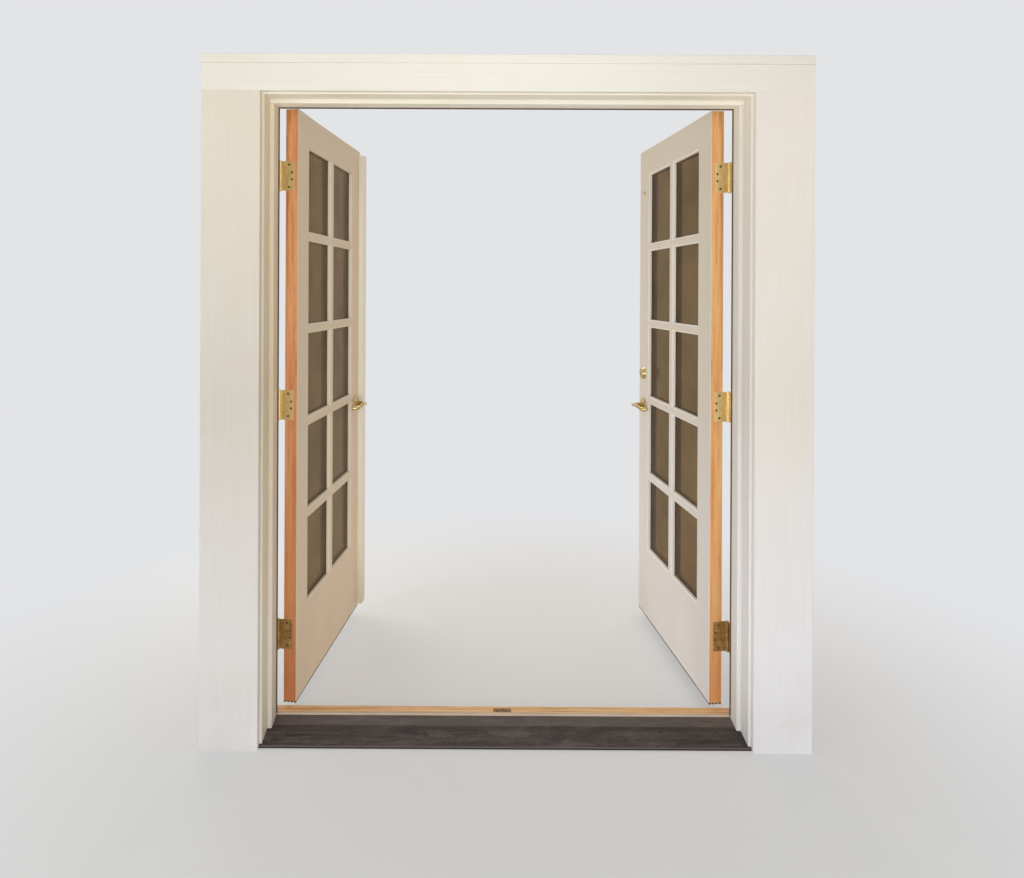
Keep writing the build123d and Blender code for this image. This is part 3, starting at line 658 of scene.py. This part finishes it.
drip_line = sums(tree, "MULTIPLY", drip_front, reach(tree, y, dust_start, drip_end))
stain = over(tree, sums(tree, "MULTIPLY", drip_line, 0.4), stain, tint(46, 39, 36))
print("sill stained, with a drip line from", drip_start, "to", dust_start, "m")

# %% Sill nose
nose_highlight_start, nose_highlight_full, nose_highlight_play = -0.0015, -0.0045, 0.006
face_start, face_full = -0.0068, -0.0078
arris_high, arris_low = 0.0056, 0.0046
# Painted highlight: an uneven pale band along the rounded nose.
uneven_y = sums(tree, "ADD", y, sums(tree, "MULTIPLY", blotches, nose_highlight_play))
stain = over(tree, reach(tree, uneven_y, nose_highlight_start, nose_highlight_full), stain, tint(98, 86, 84))
# Painted shade: the face under the nose is painted nearly black.
below_nose = reach(tree, z, arris_high, arris_low)
shaded_nose_face = sums(tree, "MULTIPLY", reach(tree, y, face_start, face_full), below_nose)
stain = over(tree, shaded_nose_face, stain, tint(42, 33, 30))
tree.links.new(stain, shader.inputs["Base Color"])
wear_roughness(tree, shader, blotches, 0.52, 0.8)
relief(tree, shader, sums(tree, "SUBTRACT", figure, sums(tree, "MULTIPLY", pits, 0.5)), 0.0008)
parts["sill"].data.materials[0] = sill_finish
print("sill nose rubbed")

# %% [markdown]
# ## Threshold
#
# The strip behind the sill is oak, painted pale on its front and worn back to bare tan wood on
# top. The paint ends a little behind the front edge, on an uneven line where soles rub it off.

# %% Threshold oak
top_start, top_full = 0.0370, 0.0376
worn_start, worn_full, worn_play = 0.1275, 0.1305, 0.006
oak_finish, tree, shader = new_finish("threshold_oak", 0.5, gloss=0.4)
where = here(tree)
y, z = axes(tree, where)[1:]
oak, figure = wood_figure(
    tree, where, tint(176, 130, 84), tint(232, 184, 128), tint(246, 208, 156), (2.6, 110, 110)
)
worn = noise(tree, stretched(tree, where, (6, 30, 30)), detail=4)
uneven_y = sums(tree, "ADD", y, sums(tree, "MULTIPLY", worn, worn_play))
top_face = reach(tree, z, top_start, top_full)
bare_top = sums(tree, "MULTIPLY", top_face, reach(tree, uneven_y, worn_start, worn_full))
front = ramp(tree, worn, (0.35, tint(188, 168, 148)), (0.65, tint(208, 188, 168)))
tree.links.new(over(tree, bare_top, front, oak), shader.inputs["Base Color"])
wear_roughness(tree, shader, worn, 0.38, 0.62)
relief(tree, shader, figure, 0.0004)
parts["threshold"].data.materials[0] = oak_finish
print("threshold finished")

# %% [markdown]
# ## Polished brass
#
# Three kinds of brass are here. The levers, roses and locks are polished and lacquered, so they
# are smooth with faint smears. Metal gets its colour from what it reflects, so the variation
# sits in the roughness first and only then in the colour. The model already says which parts
# are lock brass, so the finish is handed out by the name of the material they came with.

# %% Lock brass


def parts_made_of(material_name):
    """Names of the parts that came with this material."""
    return [name for name, part in parts.items() if part.data.materials[0].name == material_name]


lock_finish, tree, shader = new_finish("lock_brass_polished", 0.2, metal=1.0)
where = here(tree)
smears = noise(tree, where, scale=34, detail=4, bend=0.6)
spots = noise(tree, where, scale=260, detail=3)
brass = ramp(tree, smears, (0.34, tint(178, 148, 94)), (0.66, tint(212, 188, 134)))
brass = over(tree, reach(tree, spots, 0.66, 0.76), brass, tint(128, 96, 52))
tree.links.new(brass, shader.inputs["Base Color"])
wear_roughness(tree, shader, smears, 0.12, 0.34)
relief(tree, shader, spots, 0.00004)
lock_parts = parts_made_of("lock_brass")
for name in lock_parts:
    parts[name].data.materials[0] = lock_finish
print(len(lock_parts), "lock parts:", ", ".join(lock_parts))

# %% [markdown]
# ## Old brass
#
# The strikes of the upright bolts and the small keyhole plate are never polished. Years of bloom
# have made the strikes brown, and the plate has paint over it, so both are only part metal. The
# screws are a darker brass than the plates that they hold, with specks of dirt.

# %% Strikes and keyhole plate


def old_brass(name, dark, mid, pale, metal):
    """Brass under years of bloom, from dark to pale."""
    finish, tree, shader = new_finish(name, 0.6, metal=metal, gloss=0.3)
    bloom = noise(tree, here(tree), scale=95, detail=5, rough=0.7, bend=0.4)
    brass = ramp(tree, bloom, (0.32, dark), (0.52, mid), (0.72, pale))
    tree.links.new(brass, shader.inputs["Base Color"])
    wear_roughness(tree, shader, bloom, 0.5, 0.8)
    relief(tree, shader, bloom, 0.00008)
    return finish


parts["bolt_strikes"].data.materials[0] = old_brass(
    "brass_strikes_brown", tint(104, 80, 54), tint(140, 110, 76), tint(170, 138, 98), 0.5
)
parts["keyhole_plate"].data.materials[0] = old_brass(
    "brass_plate_painted_over",
    tint(176, 160, 124), tint(200, 184, 152), tint(218, 204, 176), 0.2,
)
print("old brass on strikes and keyhole plate")

# %% Screw brass
screw_brass, tree, shader = new_finish("screw_brass_dark", 0.45, metal=1.0)
dirt_specks = noise(tree, here(tree), scale=700, detail=3)
brass = ramp(tree, dirt_specks, (0.35, tint(112, 90, 50)), (0.65, tint(156, 132, 82)))
tree.links.new(brass, shader.inputs["Base Color"])
wear_roughness(tree, shader, dirt_specks, 0.35, 0.6)
print("screw brass ready")

# %% [markdown]
# ## Satin brass
#
# The hinges are plain satin brass. Fine scratches run up and down the plates, and the lowest
# pair has gone brown where water splashes, which a mask on height brings in.

# %% Hinge brass
dry_above, wet_below = 0.62, 0.40
hinge_finish, tree, shader = new_finish("hinge_brass_satin", 0.4, metal=1.0)
where = here(tree)
scratches = noise(tree, stretched(tree, where, (420, 420, 30)), detail=4, rough=0.65)
patches = noise(tree, where, scale=60, detail=5, rough=0.7, bend=0.5)
brass = ramp(tree, scratches, (0.35, tint(218, 190, 132)), (0.65, tint(248, 224, 168)))
dark_brown, brown, pale_brown = tint(152, 119, 72), tint(196, 161, 104), tint(228, 201, 144)
tarnish = ramp(tree, patches, (0.3, dark_brown), (0.5, brown), (0.72, pale_brown))
splashed = reach(tree, axes(tree, where)[2], dry_above, wet_below)
brass = over(tree, splashed, brass, tarnish)
stained = sums(tree, "MULTIPLY", reach(tree, patches, 0.6, 0.7), 0.45)
brass = over(tree, stained, brass, tint(160, 132, 78))
tree.links.new(brass, shader.inputs["Base Color"])
wear_roughness(tree, shader, patches, 0.3, 0.55)
relief(tree, shader, scratches, 0.00005)
hinge_parts = parts_made_of("hinge_brass")
for name in hinge_parts:
    parts[name].data.materials[0] = hinge_finish
print(len(hinge_parts), "hinge parts:", ", ".join(hinge_parts))

# %% [markdown]
# ## Seals
#
# The weatherstrip, the astragal seal and the strips under the leaves are dark brown rubber. It
# is dull, a little dusty, and never quite black.

# %% Seal rubber
rubber_finish, tree, shader = new_finish("seal_rubber_brown", 0.7, gloss=0.3)
where = here(tree)
dust = noise(tree, where, scale=45, detail=5, rough=0.65)
grit = noise(tree, where, scale=600, detail=2)
rubber = ramp(tree, dust, (0.35, tint(72, 56, 44)), (0.7, tint(104, 86, 70)))
tree.links.new(rubber, shader.inputs["Base Color"])
wear_roughness(tree, shader, dust, 0.6, 0.85)
relief(tree, shader, grit, 0.0001)
for name in ("weatherstrip", "astragal_seal", "left_bottom_seal", "right_bottom_seal"):
    parts[name].data.materials[0] = rubber_finish
print("seals finished")

# %% [markdown]
# ## Glass
#
# Each leaf has ten flat panes. Seen straight on they are nearly clear. Seen at a slant, as here,
# they are darker than the bars, with a brown cast: a slanting look passes more glass and more of
# the film on it, and the dark brown is painted shade that stands in for a dim room behind the
# panes. The glass is a refracting slab whose tint deepens with the slant. Its index is lower
# than that of real glass, because a white studio would lie on it like a veil.
# Rays that go from paint to a lamp pass through it as through a thin film, so the panes throw a
# light shadow and not a black one. A faint wave and a trace of old rain keep it from being
# perfect.

# %% Pane glass
glass_finish, tree, shader = new_finish("pane_glass_tinted", 0.02)
where = here(tree)
shader.inputs["Transmission Weight"].default_value = 1.0
shader.inputs["IOR"].default_value = 1.1
film = noise(tree, where, scale=5, detail=5, bend=0.5)
slant = tree.nodes.new("ShaderNodeLayerWeight")
slant.inputs["Blend"].default_value = 0.5
straight = ramp(tree, film, (0.3, tint(200, 196, 188)), (0.7, tint(214, 210, 202)))
# Painted shade: the dark brown that the panes take at a slant.
aslant_painted_shade = ramp(tree, film, (0.3, tint(76, 46, 12)), (0.7, tint(102, 68, 26)))
glass = over(tree, reach(tree, slant.outputs["Facing"], 0.3, 0.62), straight, aslant_painted_shade)
tree.links.new(glass, shader.inputs["Base Color"])
wear_roughness(tree, shader, film, 0.0, 0.05)
relief(tree, shader, noise(tree, where, scale=9, detail=1), 0.0002)
print("glass tinted")

# %% Light through the panes
through = tree.nodes.new("ShaderNodeBsdfTransparent")
through.inputs["Color"].default_value = tint(190, 182, 168)
path = tree.nodes.new("ShaderNodeLightPath")
either = tree.nodes.new("ShaderNodeMixShader")
tree.links.new(path.outputs["Is Shadow Ray"], either.inputs[0])
tree.links.new(shader.outputs[0], either.inputs[1])
tree.links.new(through.outputs[0], either.inputs[2])
tree.links.new(either.outputs[0], tree.nodes["Material Output"].inputs["Surface"])
for name in ("left_panes", "right_panes"):
    parts[name].data.materials[0] = glass_finish
print("panes glazed")

# %% [markdown]
# ## Screws
#
# The measured model has plain cones where the hinge screws are. A real wood screw has a flat
# countersunk head, slightly crowned, with a tapered cross recess. One is modelled here with its
# head at the origin, looking up: a short cylinder, its underside drawn in to the shank, a shank
# pulled out of it down to a narrow tip, and a top that two insets lift to a low crown. Faces are
# picked by the way they look, as a hand would click on them.

# %% Screw body


def pick_faces(piece, test):
    """In edit mode, select only the faces whose normal passes the test."""
    bpy.ops.mesh.select_mode(type="FACE")
    bpy.ops.mesh.select_all(action="DESELECT")
    shape = bmesh.from_edit_mesh(piece.data)
    for face in shape.faces:
        if test(face.normal):
            face.select_set(True)
    bmesh.update_edit_mesh(piece.data)


def looks_up(normal):
    """Whether a face looks up."""
    return normal.z > 0.9


def looks_down(normal):
    """Whether a face looks down."""
    return normal.z < -0.9


def screw_body(head, shank, length):
    """A countersunk screw with its head's top at the origin, pointing down."""
    shank_share, tip_share = shank / head, 0.4
    deselect_everything()
    bpy.ops.mesh.primitive_cylinder_add(
        vertices=32, radius=head, depth=head / 2, location=(0, 0, -head / 4)
    )
    screw = bpy.context.object
    bpy.ops.object.transform_apply(location=True)
    bpy.ops.object.mode_set(mode="EDIT")
    pick_faces(screw, looks_down)
    bpy.ops.transform.resize(value=(shank_share, shank_share, 1))
    bpy.ops.mesh.extrude_region_move(TRANSFORM_OT_translate={"value": (0, 0, -length)})
    bpy.ops.transform.resize(value=(tip_share, tip_share, 1))
    pick_faces(screw, looks_up)
    for inwards, upwards in ((0.12, 0.03), (0.3, 0.02)):
        bpy.ops.mesh.inset(thickness=head * inwards)
        bpy.ops.transform.translate(value=(0, 0, head * upwards))
    bpy.ops.object.mode_set(mode="OBJECT")
    return screw


print("screw body ready")

# %% [markdown]
# ## The cross recess
#
# The recess could be built from the head's own faces, but cutting it is quicker and sharper. A
# flat block that narrows downwards is taken out of the head twice, the second time a quarter
# turn on.

# %% Screw with its recess


def cut_slot(screw, head, turn):
    """Take one tapered arm of the cross out of a screw's head."""
    deselect_everything()
    bpy.ops.mesh.primitive_cube_add(size=1, location=(0, 0, 0), rotation=(0, 0, turn))
    arm = bpy.context.object
    arm_length, arm_width, arm_depth = head * 1.05, head * 0.24, head * 0.62
    arm.scale = (arm_length, arm_width, arm_depth)
    bpy.ops.object.transform_apply(location=True, rotation=True, scale=True)
    bpy.ops.object.mode_set(mode="EDIT")
    pick_faces(arm, looks_down)
    bottom_share = 0.45
    bpy.ops.transform.resize(value=(bottom_share, bottom_share, 1))
    bpy.ops.object.mode_set(mode="OBJECT")
    deselect_everything()
    screw.select_set(True)
    bpy.context.view_layer.objects.active = screw
    cut = screw.modifiers.new("recess", "BOOLEAN")
    cut.operation = "DIFFERENCE"
    cut.solver = "EXACT"
    cut.object = arm
    bpy.ops.object.modifier_apply(modifier=cut.name)
    bpy.data.objects.remove(arm)


def model_screw(head, shank, length):
    """A whole screw, smooth but for its sharp edges."""
    screw = screw_body(head, shank, length)
    for turn in (0, math.pi / 2):
        cut_slot(screw, head, turn)
    bpy.ops.object.shade_smooth_by_angle(angle=math.radians(30))
    return screw


hinge_screw = model_screw(head=0.0044, shank=0.0021, length=0.018)
print("one screw has", len(hinge_screw.data.polygons), "faces")

# %% [markdown]
# ## Copies of a screw
#
# A screw could be copied as instances, but each copy keeps its own mesh, so that the screws of a
# part can be joined and ride with it. Two recesses never end up at the same angle, so each copy
# is turned by its own amount. The turn comes from its number and not from chance, so the doors
# look the same each time they are made.

# %% Drive screws
first_turn, turn_step = 17, 71


def drive_screws(name, pattern, places, body, replaced=()):
    """Copies of a screw, one at each matrix, joined to one piece that rides on a body."""
    copies = []
    deselect_everything()
    for count, place in enumerate(places):
        copy = pattern.copy()
        copy.data = pattern.data.copy()
        bpy.context.scene.collection.objects.link(copy)
        own_turn = Matrix.Rotation(math.radians(first_turn + turn_step * count), 4, "Z")
        copy.matrix_world = place @ own_turn
        copy.select_set(True)
        copies.append(copy)
    bpy.context.view_layer.objects.active = copies[0]
    bpy.ops.object.transform_apply(location=True, rotation=True, scale=True)
    bpy.ops.object.join()
    piece = bpy.context.object
    piece.name = name
    bpy.ops.object.mode_set(mode="EDIT")
    bpy.ops.mesh.select_all(action="SELECT")
    bpy.ops.mesh.normals_make_consistent(inside=False)
    bpy.ops.object.mode_set(mode="OBJECT")
    piece.data.materials.clear()
    piece.data.materials.append(screw_brass)
    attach(piece, body)
    if replaced:
        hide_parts(*replaced)
    print(name, "has", len(copies), "screws and", len(piece.data.polygons), "faces")


print("each screw is turned", turn_step, "degrees from the one before")

# %% [markdown]
# ## Screws of the hinges
#
# Each leaf hangs on three hinges, and each of their plates has four screws in two staggered
# pairs. The places are given once, in a leaf's n and t. On the jamb they are carried over with
# the leaf closed, and on the leaf with its own matrix.

# %% Hinge screws
hinge_lows, half_hinge = (0.177, 0.9652, 1.7524), 0.0508
outer_pair, inner_pair = (0.033, 0.0385), (0.022, 0.012)
jamb_plate = -0.774


def facing(direction, point):
    """Matrix that stands a screw's head at a point, looking in a direction."""
    turned = Vector(direction).to_track_quat("Z", "Y").to_matrix().to_4x4()
    return Matrix.Translation(point) @ turned


plate_places = [
    (n, low + half_hinge + rise)
    for low in hinge_lows
    for n, from_middle in (outer_pair, inner_pair)
    for rise in (-from_middle, from_middle)
]
jamb_places = []
for n, t in plate_places:
    left_spot = Vector((jamb_plate, closed_face + n, leaf_low + t))
    jamb_places += [facing((1, 0, 0), left_spot), facing((-1, 0, 0), mirror @ left_spot)]
drive_screws(
    "jamb_hinge_screws", hinge_screw, jamb_places, "frame",
    ["frame_hinge_screws"],
)
for side, body in (("left", "passive_leaf"), ("right", "active_leaf")):
    to_scene = leaf_place[side]
    away = (to_scene.to_3x3() @ Vector((-1, 0, 0))).normalized()
    spots = [facing(away, to_scene @ Vector((0, n, t))) for n, t in plate_places]
    drive_screws(
        side + "_leaf_hinge_screws", hinge_screw, spots, body,
        [side + "_hinge_screws"],
    )

# %% [markdown]
# ## Small screws in the locks and strikes
#
# The faceplates of latch and deadbolt, their strikes, and the strikes of the upright bolts are
# each held by two smaller screws, one on each side of the plate's middle. They are the same
# shape at three quarters of the size, so the same steps make them, with a shorter shank.

# %% Faceplate and strike screws
lock_screw = model_screw(head=0.0033, shank=0.0016, length=0.012)
leaf_width, strike_face = 0.762, 0.776
lever_level, deadbolt_level, from_plate_middle = 0.912, 1.0515, 0.0225


def plate_spots(side, s):
    """Screw places of the two plates on a leaf's free edge."""
    to_scene = leaf_place[side]
    outwards = (to_scene.to_3x3() @ Vector((1, 0, 0))).normalized()
    return [
        facing(outwards, to_scene @ Vector((s, leaf_depth / 2, level + rise)))
        for level in (lever_level, deadbolt_level)
        for rise in (-from_plate_middle, from_plate_middle)
    ]


drive_screws(
    "faceplate_screws", lock_screw, plate_spots("right", leaf_width), "active_leaf"
)
drive_screws(
    "strike_screws", lock_screw, plate_spots("left", strike_face), "passive_leaf"
)

# %% Bolt strike screws
bolt_x, bolt_y = -0.002, 0.13875
threshold_top, head_underside = 0.038, 2.0795
bolt_spots = []
for x in (bolt_x - from_plate_middle, bolt_x + from_plate_middle):
    bolt_spots.append(facing((0, 0, 1), Vector((x, bolt_y, threshold_top))))
    bolt_spots.append(facing((0, 0, -1), Vector((x, bolt_y, head_underside))))
drive_screws("bolt_strike_screws", lock_screw, bolt_spots, "frame")
for pattern in (hinge_screw, lock_screw):
    bpy.data.objects.remove(pattern)
print("patterns removed")
